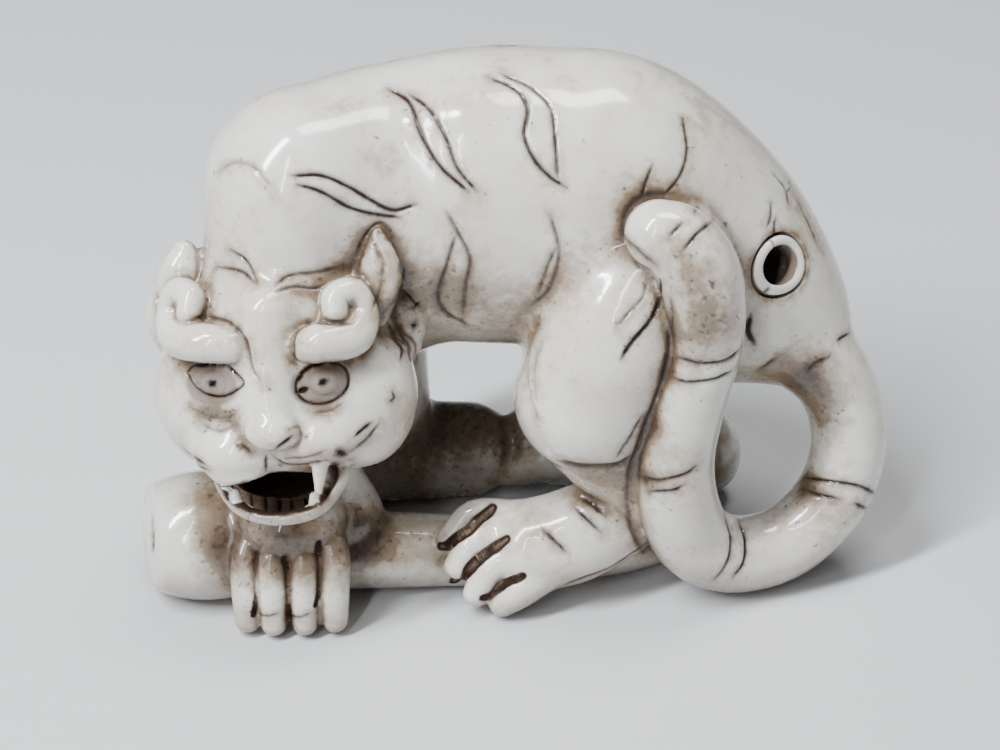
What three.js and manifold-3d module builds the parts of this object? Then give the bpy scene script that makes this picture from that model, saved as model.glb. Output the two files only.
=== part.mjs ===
// Netsuke: a tiger arched over a bamboo stem, carved from one piece of ivory, with an inlaid eyelet round its
// cord hole. Millimetres, +Z up. The tiger walks towards -X and turns its head to -Y; it stands on z = 0.
import * as THREE from "three";
import { mergeVertices } from "three/addons/utils/BufferGeometryUtils.js";
import Module from "manifold-3d";

const wasm = await Module();
wasm.setup();

// Driving sizes. Each form below is a point [x, y, z] with a radius where it needs one.
const ivory = { color: 0xe6e0d2, roughness: 0.3, metalness: 0 };
const eyeletIvory = { color: 0xefebe4, roughness: 0.3, metalness: 0 };
const block = [80, 60, 60]; // larger than the whole carving, for the flat cut under its feet
const cordHole = { near: [16.85, -3.95, 24.2], meet: [10.25, 0.85, 20.4], far: [14.6, 8.6, 23.4], radius: 1.4 };
const eyelet = { outer: 2.1, depth: 1.0, joint: 0.3 }; // joint: the stained gap all round and under it
const head = { at: [-14.9, -5.6, 16.8], yaw: 10, pitch: 12, roll: 5.5 }; // degrees from facing -Y, level

const { degToRad } = THREE.MathUtils;
const vector = (p) => new THREE.Vector3(...p);

// A closed three.js geometry as a solid: shared vertices merged, triangles that fell flat left out.
function solid(geometry) {
  const bare = geometry.clone();
  bare.deleteAttribute("normal");
  bare.deleteAttribute("uv");
  const merged = mergeVertices(bare, 1e-4);
  const corners = merged.index.array;
  const triangles = [];
  for (let i = 0; i < corners.length; i += 3) {
    const [a, b, c] = corners.slice(i, i + 3);
    if (a !== b && b !== c && c !== a) triangles.push(a, b, c);
  }
  return new wasm.Manifold(
    new wasm.Mesh({
      numProp: 3,
      vertProperties: merged.attributes.position.array,
      triVerts: new Uint32Array(triangles),
    }),
  );
}

// The solid back as an indexed geometry with flat facets.
function geometryOf(made) {
  const mesh = made.getMesh();
  const geometry = new THREE.BufferGeometry();
  geometry.setAttribute("position", new THREE.BufferAttribute(mesh.vertProperties, 3));
  geometry.setIndex(new THREE.BufferAttribute(mesh.triVerts, 1));
  geometry.computeVertexNormals();
  return geometry;
}

const joinAll = (solids) => solids.reduce((whole, next) => whole.add(next));

// An egg or boss: a sphere stretched to three radii.
function boss(at, radii, segments = 18) {
  const ball = new THREE.SphereGeometry(1, segments, Math.round(segments * 0.7));
  ball.scale(...radii).translate(...at);
  return solid(ball);
}

// A limb: a round bar whose radius changes, with domed ends, bent along a smooth line of [x, y, z, radius].
// Stretch flattens its section along the axes; blunt makes the domes shallower.
function limb(line, { sides = 14, steps = 3, stretch = [1, 1, 1], blunt = 1 } = {}) {
  const shrink = ([x, y, z]) => new THREE.Vector3(x / stretch[0], y / stretch[1], z / stretch[2]);
  const path = new THREE.CatmullRomCurve3(line.map(shrink), false, "catmullrom");
  const widths = new THREE.CatmullRomCurve3(line.map((p) => new THREE.Vector3(p[3], 0, 0)), false, "catmullrom");
  const count = (line.length - 1) * steps;
  const dome = [0, 45].map(degToRad);
  const first = line[0][3];
  const last = line.at(-1)[3];
  // One entry for each ring: how far along the path, how far past its end, and the ring's radius.
  const rings = [
    ...dome.map((angle) => [0, -first * blunt * Math.cos(angle), first * Math.sin(angle)]),
    ...Array.from({ length: count + 1 }, (_, i) => [i / count, 0, widths.getPoint(i / count).x]),
    ...dome.toReversed().map((angle) => [1, last * blunt * Math.cos(angle), last * Math.sin(angle)]),
  ];
  const profile = rings.map((ring, i) => new THREE.Vector2(ring[2], i));
  const bar = new THREE.LatheGeometry(profile, sides);
  const across = new THREE.Vector3();
  let previous = null;
  const frames = rings.map(([along, past]) => {
    const tangent = path.getTangent(along);
    const start = previous ?? (Math.abs(tangent.z) < 0.9 ? new THREE.Vector3(0, 0, 1) : new THREE.Vector3(1, 0, 0));
    across.copy(start).addScaledVector(tangent, -start.dot(tangent)).normalize();
    previous = across.clone();
    const middle = path.getPoint(along).addScaledVector(tangent, past);
    return { middle, across: previous, up: new THREE.Vector3().crossVectors(previous, tangent) };
  });
  const places = bar.attributes.position;
  for (let i = 0; i < places.count; i++) {
    const { middle, across: side, up } = frames[Math.round(places.getY(i))];
    const point = middle.clone().addScaledVector(side, places.getX(i)).addScaledVector(up, places.getZ(i));
    places.setXYZ(i, point.x * stretch[0], point.y * stretch[1], point.z * stretch[2]);
  }
  return solid(bar);
}

// A straight round bar from its middle, for cutting holes.
function rod(middle, direction, radius, length, sides = 20) {
  const bar = new THREE.CylinderGeometry(radius, radius, length, sides);
  const turn = new THREE.Quaternion().setFromUnitVectors(new THREE.Vector3(0, 1, 0), vector(direction).normalize());
  bar.applyQuaternion(turn).translate(...middle);
  return solid(bar);
}

const mirrored = ([x, ...rest]) => [-x, ...rest];
const bothSides = (line) => [line, line.map(mirrored)];

// Back, rump and neck, with the shoulder and chest.
function body() {
  const back = [
    [-7.7, 1.5, 26.2, 9.9],
    [-2.3, 1.5, 26.6, 10.3],
    [3.0, 1.5, 26.4, 10.4],
    [5.7, 1.4, 26.2, 10.4],
    [9.8, 1.2, 24.4, 9.3],
    [12.8, 0.8, 21.9, 8.5],
    [17.0, -0.4, 19.4, 5.9],
    [19.5, -1.6, 17.2, 3.6],
  ];
  const neck = [
    [-13.9, -1.7, 29.2, 6.35],
    [-14.4, -2.5, 25.2, 6.1],
    [-14.9, -4.0, 20.6, 5.6],
  ];
  return [
    limb(back, { sides: 20, steps: 2, stretch: [1, 0.84, 1] }),
    limb(neck, { sides: 16, steps: 2 }),
    boss([-10.4, 0.3, 24.6], [6.6, 6.9, 10.2], 14),
  ];
}

// The forelegs. The near one stands behind the chin, the far one lies along the ground.
function forelegs() {
  const near = [
    [-11.8, -2.4, 20.0, 5.0],
    [-12.8, -2.8, 13.2, 3.8],
    [-13.3, -4.4, 8.8, 2.7],
    [-12.0, -5.2, 5.0, 3.0],
  ];
  const farUpper = [
    [-10.8, 3.4, 21.0, 5.2],
    [-10.6, 4.4, 14.0, 4.5],
    [-9.8, 5.0, 7.0, 3.8],
  ];
  const farLower = [
    [-3.4, 5.6, 3.4, 3.5],
    [-8.0, 5.2, 3.5, 3.6],
    [-13.0, 2.8, 4.2, 3.2],
    [-17.0, 0.4, 4.4, 2.9],
  ];
  const legs = [near, farUpper, farLower].map((line) => limb(line, { sides: 12, steps: 2 }));
  return [...legs, boss([-15.2, -8.2, 7.0], [3.7, 3.3, 2.6], 12)];
}

// Hind legs: thigh, shank down to the heel, and the foot forward along the ground.
function hindLegs() {
  const near = [
    [9.1, -4.0, 24.2, 5.2],
    [6.9, -5.4, 20.6, 5.4],
    [5.0, -6.0, 15.4, 5.1],
  ];
  const nearShank = [
    [5.6, -5.8, 12.6, 4.2],
    [8.2, -5.4, 8.8, 3.4],
    [8.0, -5.6, 6.4, 3.0],
    [4.2, -6.9, 4.7, 3.3],
    [1.2, -7.2, 4.0, 3.2],
  ];
  const far = [
    [9.2, 5.6, 23.6, 5.0],
    [6.6, 7.0, 19.6, 5.2],
    [5.2, 7.2, 15.0, 4.8],
  ];
  const farShank = [
    [6.4, 7.0, 12.4, 4.0],
    [11.2, 5.4, 8.0, 2.9],
    [14.0, 4.6, 3.2, 2.5],
    [7.4, 5.8, 3.6, 3.1],
    [2.4, 6.4, 3.7, 3.3],
  ];
  const legs = [near, nearShank, far, farShank].map((line, i) => limb(line, { sides: i < 2 ? 12 : 9, steps: 2 }));
  return [...legs, boss([-1.7, -6.7, 4.3], [2.2, 2.0, 1.5], 8)];
}

// Toes, each a short bar bent over the bamboo or the ground.
function toes() {
  const nearHind = [
    [[0.6, -5.8, 5.3, 1.2], [-2.8, -6.1, 5.8, 1.0], [-4.5, -7.3, 4.5, 0.85]],
    [[0.6, -6.9, 5.0, 1.4], [-2.4, -7.6, 4.9, 1.2], [-3.9, -8.6, 3.3, 0.95]],
    [[0.9, -8.0, 4.0, 1.5], [-1.5, -8.9, 3.5, 1.25], [-2.6, -9.6, 1.7, 0.95]],
    [[2.2, -8.6, 3.2, 1.6], [0.4, -9.7, 2.2, 1.35], [-0.8, -10.0, 1.2, 1.0]],
  ];
  const nearFront = [-18.1, -16.3, -14.2, -12.2].map((x, i) => {
    const reach = [0, 0.35, 0.3, 0][i];
    return [
      [(x + 15.2) * 0.8 - 15.2, -8.6, 6.6, 1.2],
      [x, -10.4 - reach, 5.4, 1.1],
      [x, -11.4 - reach, 3.2, 1.05],
      [x, -11.8 - reach, 1.1, 0.9],
    ];
  });
  const farHind = [4.2, 6.0, 7.8].map((y) => [
    [2.4, y, 3.6, 1.7],
    [-0.2, y, 2.6, 1.3],
  ]);
  const farFront = [-1.6, 0.4, 2.2].map((y) => [
    [-17.4, y + 0.4, 4.8, 1.5],
    [-20.4, y - 0.4, 3.2, 1.3],
    [-21.4, y - 0.6, 1.5, 1.0],
  ]);
  const near = [...nearHind, ...nearFront].map((line) => limb(line, { sides: 7, steps: 1 }));
  const far = [...farHind, ...farFront].map((line) => limb(line, { sides: 6, steps: 1 }));
  return [...near, ...far];
}

// The tail leaves the rump, loops under at the right and climbs over the hip to a blunt tip.
function tail() {
  const line = [
    [19.2, -1.8, 17.4, 3.2],
    [21.9, -2.6, 14.3, 2.7],
    [23.0, -3.4, 10.2, 2.6],
    [22.0, -4.4, 6.1, 2.6],
    [19.0, -5.5, 3.2, 2.6],
    [15.4, -6.6, 2.8, 2.7],
    [12.5, -7.5, 4.6, 2.8],
    [11.1, -8.2, 8.0, 2.75],
    [10.7, -8.6, 12.2, 2.6],
    [11.4, -9.0, 17.0, 2.4],
    [12.3, -9.2, 21.1, 2.3],
    [12.1, -9.2, 24.3, 2.6],
    [11.5, -8.9, 26.7, 2.7],
    [10.3, -8.6, 28.5, 2.45],
    [9.0, -8.5, 29.1, 2.2],
  ];
  return limb(line, { sides: 10, steps: 2 });
}

// The bamboo stem, thick at its cut end, with the pith hollow sunk in the cut.
function bamboo() {
  const line = [
    [-23.7, -6.5, 4.3, 3.9],
    [-21.6, -6.4, 4.3, 4.5],
    [-19.0, -6.3, 4.1, 4.2],
    [-15.6, -6.2, 3.4, 3.5],
    [-11.6, -6.0, 2.8, 2.85],
    [-5.6, -5.7, 2.5, 2.55],
    [0.6, -5.4, 2.35, 2.45],
    [6.6, -4.5, 2.1, 2.2],
    [10.4, -3.0, 1.75, 1.85],
    [13.8, -1.3, 1.5, 1.6],
  ];
  return limb(line, { sides: 16, steps: 1, blunt: 0.55 });
}

// Everything on the head, in its own frame: x to its left, y back, z up, facing -Y.
function headForms() {
  const brow = [
    [2.0, -6.2, 4.2, 1.2],
    [4.0, -6.2, 4.4, 1.3],
    [5.8, -5.1, 4.5, 1.3],
    [6.5, -4.2, 5.9, 0.85],
    [5.9, -4.2, 7.2, 0.85],
    [4.8, -4.8, 7.0, 0.95],
    [4.8, -5.4, 6.1, 0.85],
  ];
  const ears = [
    [
      [-5.9, -2.3, 4.8, 1.2],
      [-6.3, -2.2, 7.2, 1.6],
      [-6.0, -1.6, 9.0, 0.9],
    ],
    [
      [6.3, -2.9, 5.2, 1.3],
      [6.8, -2.9, 8.1, 1.75],
      [6.9, -2.4, 10.2, 0.9],
    ],
  ];
  const ruff = [
    [8.2, -0.8, 5.2, 1.0],
    [8.4, -0.4, 3.8, 1.1],
    [8.0, 0, 2.2, 1.0],
  ];
  const jaw = [
    [4.2, -4.4, -3.9, 0.7],
    [4.1, -5.6, -5.5, 0.6],
    [2.7, -6.7, -6.9, 0.55],
    [0.2, -7.2, -7.3, 0.55],
    [-2.2, -6.7, -6.9, 0.55],
    [-3.6, -5.6, -5.8, 0.6],
    [-4.2, -4.4, -4.6, 0.7],
  ];
  const bridge = [
    [0.2, -5.0, 6.0, 1.9],
    [0.2, -5.8, 3.4, 1.4],
    [0.3, -6.5, 1.0, 1.35],
    [0.5, -7.0, -0.8, 1.5],
  ];
  const upperFang = [
    [3.4, -6.6, -3.6, 0.6],
    [3.3, -6.8, -5.8, 0.25],
  ];
  const lowerFang = [
    [2.6, -6.4, -6.8, 0.5],
    [2.7, -6.7, -5.2, 0.22],
  ];
  const pairs = [-1, 1].flatMap((side) => [
    boss([side * 5.0, -1.6, -0.6], [3.8, 4.2, 5.0], 12),
    boss([side * 3.6, -4.7, 1.5], [1.75, 1.7, 1.4], 10),
  ]);
  const small = { sides: 6, steps: 1 };
  const solids = [
    boss([0, 0, 3.2], [7.2, 6.6, 7.0], 16),
    boss([-2.6, -5.1, -2.7], [3.1, 2.7, 2.3], 12),
    boss([2.9, -5.1, -2.0], [3.1, 2.6, 2.1], 12),
    boss([0, -2.2, -5.8], [3.8, 4.2, 1.6], 10),
    boss([0.6, -7.7, -1.1], [1.7, 1.2, 1.2], 10),
    boss([0, -3.0, -1.0], [7.0, 4.2, 5.0], 14),
    ...pairs,
    limb(bridge, { sides: 9, steps: 1 }),
    limb(jaw, { sides: 6, steps: 2 }),
    ...bothSides(brow).map((line) => limb(line, { sides: 7, steps: 1 })),
    ...ears.map((line) => limb(line, { sides: 9, steps: 1, stretch: [1, 0.6, 1] })),
    ...bothSides(ruff).map((line) => limb(line, { sides: 8, steps: 1 })),
  ];
  const teeth = [...bothSides(upperFang), ...bothSides(lowerFang)].map((line) => limb(line, small));
  const mouth = boss([0, -6.0, -5.4], [3.5, 3.8, 1.5], 12);
  const hollows = ears.map(([low, , top]) => {
    const forward = ([x, y, z]) => [x + 0.2 * Math.sign(x), y - 1.1, z * 0.92 + 0.6, 0.5];
    return limb([forward(low), forward(top)], small);
  });
  return joinAll(solids).subtract(joinAll([mouth, ...hollows])).add(joinAll(teeth));
}

function placedHead() {
  const turn = new THREE.Euler(degToRad(-head.pitch), degToRad(-head.roll), degToRad(-head.yaw), "ZXY");
  const place = new THREE.Matrix4().makeRotationFromEuler(turn).setPosition(...head.at);
  return headForms().transform(place.elements);
}

// A straight bore from one point to another, run a little past its first end.
function bore(from, to, radius) {
  const start = vector(from);
  const along = vector(to).sub(start);
  const length = along.length() + 3;
  const middle = start.clone().addScaledVector(along.normalize(), length / 2 - 3);
  return rod(middle.toArray(), along.toArray(), radius, length);
}

// A round plug whose foot lies a given depth below the near mouth of the cord hole.
function plug(radius, depth) {
  const inward = vector(cordHole.meet).sub(vector(cordHole.near)).normalize();
  const foot = vector(cordHole.near).addScaledVector(inward, depth);
  return rod(foot.clone().addScaledVector(inward, -2).toArray(), inward.toArray(), radius, 4, 22);
}

function carving() {
  const forms = [...body(), ...forelegs(), ...hindLegs(), ...toes(), tail(), bamboo(), placedHead()];
  const above = new THREE.BoxGeometry(...block).translate(0, 0, block[2] / 2);
  const pith = boss([-26.0, -7.2, 4.2], [1.3, 0.9, 1.6], 10);
  return joinAll(forms).intersect(solid(above)).subtract(pith);
}

const uncut = carving();
const { near, meet, far, radius } = cordHole;
const nearBore = bore(near, meet, radius);
const farBore = bore(far, meet, radius * 0.85);
const seat = plug(eyelet.outer + eyelet.joint, eyelet.depth + eyelet.joint);
const shapes = {
  tiger: uncut.subtract(joinAll([nearBore, farBore, seat])),
  cord_hole_ring: uncut.intersect(plug(eyelet.outer, eyelet.depth)).subtract(nearBore),
};

// The finished pieces stand centred on the origin.
const { min, max } = uncut.boundingBox();
const centre = new THREE.Vector3((min[0] + max[0]) / 2, (min[1] + max[1]) / 2, 0);

const group = new THREE.Group();
for (const [name, shape] of Object.entries(shapes)) {
  const colours = name === "tiger" ? ivory : eyeletIvory;
  const part = new THREE.Mesh(geometryOf(shape), new THREE.MeshStandardMaterial(colours));
  part.name = name;
  part.position.sub(centre);
  group.add(part);
}

export default group;
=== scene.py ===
import math

import bmesh
import bpy
import numpy as np
from mathutils import Matrix, Vector
from mathutils.bvhtree import BVHTree
from mathutils.kdtree import KDTree


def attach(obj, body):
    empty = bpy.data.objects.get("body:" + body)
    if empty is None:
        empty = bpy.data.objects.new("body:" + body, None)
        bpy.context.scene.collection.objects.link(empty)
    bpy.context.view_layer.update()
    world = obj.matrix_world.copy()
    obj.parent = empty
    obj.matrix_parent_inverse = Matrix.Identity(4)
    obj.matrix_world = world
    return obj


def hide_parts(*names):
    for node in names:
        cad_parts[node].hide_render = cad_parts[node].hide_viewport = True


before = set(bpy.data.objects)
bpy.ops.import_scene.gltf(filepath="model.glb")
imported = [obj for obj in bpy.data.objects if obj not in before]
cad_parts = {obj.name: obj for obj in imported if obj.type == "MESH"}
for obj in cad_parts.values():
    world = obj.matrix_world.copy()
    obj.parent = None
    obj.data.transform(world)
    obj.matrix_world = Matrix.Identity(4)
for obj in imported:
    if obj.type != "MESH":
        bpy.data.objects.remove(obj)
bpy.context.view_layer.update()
mm = 0.001
plan = np.array([0.1007, 1.259, 0.0])  # from the carving's own axes to the middle of its box
far = 9.0  # mm, a distance that counts as out of reach


# ---------- forms: distances in mm, below zero inside ----------


def smoothPath(line, steps):
    points = np.array(line, float)
    ends = np.vstack([2 * points[0] - points[1], points, 2 * points[-1] - points[-2]])
    out = []
    for i in range(len(points) - 1):
        a, b, c, d = ends[i : i + 4]
        for j in range(steps):
            t = j / steps
            out.append(
                0.5 * (
                    2 * b + (c - a) * t + (2 * a - 5 * b + 4 * c - d) * t**2 + (3 * b - a - 3 * c + d) * t**3
                )
            )
    return np.array(out + [points[-1]])


def limb(line, soft=0.5, steps=5, stretch=(1, 1, 1), cut=False):
    stretch = np.array(stretch, float)
    path = np.array(line, float)
    path[:, :3] /= stretch
    path = smoothPath(path, steps) if len(path) > 2 else path
    reach = path[:, 3:].max() + 2.5
    low, high = path[:, :3].min(0) - reach, path[:, :3].max(0) + reach

    def distance(points):
        p = points / stretch
        near = np.nonzero(np.all((p > low) & (p < high), axis=1))[0]
        out = np.full(len(points), far)
        best = np.full(len(near), far)
        q = p[near]
        for a, b in zip(path[:-1], path[1:]):
            span = b[:3] - a[:3]
            t = np.clip((q - a[:3]) @ span / max(span @ span, 1e-9), 0, 1)
            gap = q - a[:3] - t[:, None] * span
            best = np.minimum(best, np.sqrt((gap * gap).sum(1)) - (a[3] + t * (b[3] - a[3])))
        out[near] = best * stretch.min()
        return out

    return {"distance": distance, "soft": soft, "cut": cut}


def boss(at, radii, soft=0.5, cut=False):
    at, radii = np.array(at, float), np.array(radii, float)

    def distance(points):
        q = points - at
        near = np.nonzero(np.all(np.abs(q) < radii + 3, axis=1))[0]
        out = np.full(len(points), far)
        q = q[near]
        k = np.sqrt(((q / radii) ** 2).sum(1))
        slope = np.sqrt(((q / radii**2) ** 2).sum(1)) + 1e-9
        out[near] = np.minimum(k * (k - 1) / slope, far)
        return out

    return {"distance": distance, "soft": soft, "cut": cut}


def wall(at, inward, soft):  # keeps only what lies on its inward side
    at, inward = np.array(at, float), np.array(inward, float) / np.linalg.norm(inward)
    return {"distance": lambda points: (points - at) @ inward, "soft": soft, "cut": True}


def melt(a, b, soft):  # the smaller of two distances, with a fillet of that radius
    if soft <= 0:
        return np.minimum(a, b)
    h = np.clip(0.5 + 0.5 * (b - a) / soft, 0, 1)
    return b + (a - b) * h - soft * h * (1 - h)


def carve(points, forms, total=None):  # adds or cuts each form in turn
    total = np.full(len(points), far) if total is None else total
    for form in forms:
        d = form["distance"](points)
        total = -melt(-total, d, form["soft"]) if form["cut"] else melt(total, d, form["soft"])
    return total


def inBox(points, middle, half):
    return np.all(np.abs(points - middle) < half, axis=1)


def bothSides(line):
    return [line, [[-p[0]] + list(p[1:]) for p in line]]


bodyForms = [
    limb([
        (-7.6, 1.5, 26.0, 9.6), (-2.3, 1.5, 26.5, 10.25), (3.0, 1.5, 26.35, 10.3), (5.7, 1.4, 26.1, 10.2),
        (9.7, 1.2, 24.15, 9.1), (12.65, 0.8, 21.7, 8.3), (16.8, -0.4, 19.3, 5.7), (19.5, -1.6, 17.2, 3.5),
    ], stretch=(1, 0.84, 1)),
    limb([(-13.9, -1.7, 29.2, 6.35), (-14.4, -2.5, 25.2, 6.1), (-14.9, -4.0, 20.6, 5.6)], soft=1.8),
    boss((-10.4, 0.3, 24.6), (6.6, 6.9, 10.2), soft=2.2),
    limb([
        (-11.8, -2.4, 20.0, 5.0), (-12.8, -2.8, 13.2, 3.8), (-13.3, -4.4, 8.8, 2.7), (-12.0, -5.2, 5.0, 3.0),
    ], soft=1.6),
    limb([(-10.8, 3.4, 21.0, 5.2), (-10.6, 4.4, 14.0, 4.5), (-9.8, 5.0, 7.0, 3.8)], soft=2.4),
    limb([
        (-3.4, 5.6, 3.4, 3.5), (-8.0, 5.2, 3.5, 3.6), (-13.0, 2.8, 4.2, 3.2), (-17.0, 0.4, 4.4, 2.9),
    ], soft=1.2),
    limb([(9.1, -4.0, 24.2, 5.2), (6.9, -5.4, 20.6, 5.4), (5.0, -6.0, 15.4, 5.1)], soft=1.3),
    limb([(9.2, 5.6, 23.6, 5.0), (6.6, 7.0, 19.6, 5.2), (5.2, 7.2, 15.0, 4.8)], soft=1.6),
    limb([
        (6.4, 7.0, 12.4, 4.0), (11.2, 5.4, 8.0, 2.9), (14.0, 4.6, 3.2, 2.5), (7.4, 5.8, 3.6, 3.1),
        (2.4, 6.4, 3.7, 3.3),
    ], soft=1.0),
    limb([
        (5.8, -5.7, 12.6, 4.0), (8.2, -5.4, 8.8, 3.4), (8.0, -5.6, 6.4, 3.0), (4.2, -6.9, 4.7, 3.3),
        (1.2, -7.2, 4.0, 3.2),
    ], soft=0.3),
    boss((-1.7, -6.7, 4.3), (2.2, 2.0, 1.5), soft=0.8),
]
pith = {"at": (-25.5, -7.4, 5.0), "radii": (1.4, 1.05, 1.5)}
bambooForms = [
    limb([
        (-23.7, -6.5, 4.3, 3.9), (-21.6, -6.4, 4.3, 4.5), (-19.0, -6.3, 4.1, 4.2), (-15.6, -6.2, 3.4, 3.5),
        (-11.6, -6.0, 2.8, 2.85), (-5.6, -5.7, 2.5, 2.55), (0.6, -5.4, 2.35, 2.45), (6.6, -4.5, 2.1, 2.2),
        (10.4, -3.0, 1.75, 1.85), (13.8, -1.3, 1.5, 1.6),
    ], soft=0.3),
    wall((-25.2, -6.5, 4.3), (1, 0.3, -0.12), soft=0.55),
    boss(pith["at"], pith["radii"], soft=0.25, cut=True),
]
pawForms = [boss((-15.2, -8.2, 7.0), (3.7, 3.3, 2.6), soft=0.9)]
for x, reach in zip((-18.1, -16.3, -14.2, -12.2), (0, 0.35, 0.3, 0)):
    pawForms.append(
        limb([
            ((x + 15.2) * 0.8 - 15.2, -8.6, 6.6, 1.2), (x, -10.4 - reach, 5.4, 1.1),
            (x, -11.4 - reach, 3.2, 1.05), (x, -11.8 - reach, 1.1, 0.9),
        ], soft=0.32)
    )
for toe in ([(0.6, -5.8, 5.3, 1.2), (-2.8, -6.1, 5.8, 1.0), (-4.5, -7.3, 4.5, 0.85)],
            [(0.6, -6.9, 5.0, 1.4), (-2.4, -7.6, 4.9, 1.2), (-3.9, -8.6, 3.3, 0.95)],
            [(0.9, -8.0, 4.0, 1.5), (-1.5, -8.9, 3.5, 1.25), (-2.6, -9.6, 1.7, 0.95)],
            [(2.2, -8.6, 3.2, 1.6), (0.4, -9.7, 2.2, 1.35), (-0.8, -10.0, 1.2, 1.0)]):
    pawForms.append(limb(toe, soft=0.35))
for y in (4.2, 6.0, 7.8):
    pawForms.append(limb([(2.4, y, 3.6, 1.7), (-0.2, y, 2.6, 1.3)], soft=0.4))
for y in (-1.6, 0.4, 2.2):
    pawForms.append(
        limb([(-17.4, y + 0.4, 4.8, 1.5), (-20.4, y - 0.4, 3.2, 1.3), (-21.4, y - 0.6, 1.5, 1.0)], soft=0.35)
    )
tailForms = [
    limb([
        (19.2, -1.8, 17.4, 3.2), (21.9, -2.6, 14.3, 2.7), (23.0, -3.4, 10.2, 2.6), (22.0, -4.4, 6.1, 2.6),
        (19.0, -5.5, 3.2, 2.6), (15.4, -6.6, 2.8, 2.7), (12.5, -7.5, 4.6, 2.8), (11.1, -8.2, 8.0, 2.75),
        (10.7, -8.6, 12.2, 2.6), (11.4, -9.0, 17.0, 2.4), (12.3, -9.2, 21.1, 2.3), (12.1, -9.2, 24.3, 2.6),
        (11.5, -8.9, 26.7, 2.7), (10.3, -8.6, 28.5, 2.45), (9.0, -8.5, 29.1, 2.2),
    ], soft=0.45)
]

# The head, in its own frame: x to its left, y back, z up, facing -y.
headPose = {"at": (-14.9, -5.6, 16.8), "yaw": 10, "pitch": 12, "roll": 5.5}
yaw, pitch, roll = (
    Matrix.Rotation(math.radians(-headPose[name]), 3, about)
    for name, about in (("yaw", "Z"), ("pitch", "X"), ("roll", "Y"))
)
headTurn = np.array(yaw @ pitch @ roll)
eyes = {"apart": 3.6, "radii": (1.85, 1.8, 1.35), "lidded": (2.1, 1.6, 1.42)}
mouthCut = {"at": (0.1, -6.0, -5.85), "radii": (3.4, 3.8, 1.2)}
headForms = [
    boss((0, 0, 3.2), (7.2, 6.6, 7.0)),
    boss((0, -3.0, -1.0), (7.0, 4.2, 5.0), soft=1.2),
    boss((-5.0, -1.6, -0.6), (3.8, 4.2, 5.0), soft=1.2),
    boss((5.0, -1.6, -0.6), (3.8, 4.2, 5.0), soft=1.2),
    boss((-2.5, -5.15, -3.1), (3.1, 2.8, 2.3), soft=0.8),
    boss((2.9, -5.1, -2.1), (3.1, 2.65, 2.15), soft=0.8),
    boss((0, -2.2, -5.8), (3.8, 4.2, 1.6), soft=0.8),
    boss((-2.3, -6.4, -4.6), (1.7, 1.1, 0.7), soft=0.6),
    limb([
        (0.2, -5.0, 6.0, 1.9), (0.2, -5.8, 3.4, 1.4), (0.3, -6.5, 1.0, 1.35), (0.5, -7.0, -0.8, 1.5),
    ], soft=1.1),
    boss((0.6, -7.6, -1.1), (1.8, 1.25, 1.3), soft=0.3),
]
brow = [
    (2.0, -6.2, 4.2, 1.2), (4.0, -6.2, 4.4, 1.3), (5.8, -5.1, 4.5, 1.3), (6.5, -4.2, 5.9, 0.85),
    (5.9, -4.2, 7.2, 0.85), (4.8, -4.8, 7.0, 0.95), (4.8, -5.4, 6.1, 0.85),
]
for i, line in enumerate(bothSides(brow)):
    if i == 0:
        line = [(3.1, -6.2, 4.2, 1.15)] + line[1:]
    headForms.append(limb(line, soft=0.35))
for side in (-1, 1):
    headForms.append(boss((side * eyes["apart"], -4.7, 1.45), eyes["radii"], soft=0.15))
headForms.append(boss(mouthCut["at"], mouthCut["radii"], soft=0.3, cut=True))
jawRim = limb([
    (4.2, -4.4, -3.9, 0.65), (4.1, -5.6, -5.5, 0.52), (2.7, -6.7, -6.95, 0.47), (0.2, -7.2, -7.35, 0.45),
    (-2.2, -6.7, -6.95, 0.47), (-3.6, -5.6, -5.8, 0.52), (-4.2, -4.4, -4.6, 0.65),
], soft=0.25)
headForms.append(jawRim)
teeth = []
upperFang = [(3.3, -6.6, -3.6, 0.6), (3.1, -6.9, -5.5, 0.25)]
lowerFang = [(2.6, -6.3, -6.8, 0.45), (2.7, -6.5, -5.3, 0.2)]
for line in bothSides(upperFang) + bothSides(lowerFang):
    teeth.append(limb(line, soft=0.1))
for x in (-1.6, -0.75, 0.1, 0.95, 1.8):  # small lower teeth
    teeth.append(
        boss((x, -6.45 + 0.1 * abs(x), -6.55 + 0.06 * x + 0.12 * math.cos(5 * x)), (0.27, 0.35, 0.7), soft=0.04)
    )
headForms += teeth
earForms = [  # the last is the hollow of the ear on its left
    limb([
        (-5.9, -2.3, 4.8, 1.2), (-6.3, -2.2, 7.2, 1.6), (-6.0, -1.6, 9.0, 0.9),
    ], soft=0.15, stretch=(1, 0.6, 1)),
    limb([
        (6.8, -2.9, 5.3, 1.0), (7.35, -3.1, 8.0, 1.42), (7.3, -2.7, 10.4, 0.55),
    ], soft=0.12, stretch=(1, 0.6, 1)),
    limb([(7.4, -4.0, 6.2, 0.12), (7.75, -4.25, 8.0, 0.4), (7.45, -3.6, 9.8, 0.12)], soft=0.15, cut=True),
]
for line in bothSides([(8.2, -0.8, 5.2, 1.0), (8.4, -0.4, 3.8, 1.1), (8.0, 0, 2.2, 1.0)]):
    headForms.append(limb(line, soft=0.4))

cordHole = {
    "near": (16.85, -3.95, 24.2), "meet": (10.25, 0.85, 20.4), "far": (14.6, 8.6, 23.4), "radius": 1.28,
    "ringOuter": 1.95, "ringDepth": 1.0, "joint": 0.22,
}


def toHead(points):
    return (points - np.array(headPose["at"])) @ headTurn


def headDistance(points):
    local = toHead(points)
    out = np.full(len(points), far)
    near = np.nonzero(inBox(local, (0, 0, 0.5), (13, 10, 14)))[0]
    out[near] = carve(local[near], headForms)
    return out


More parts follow.
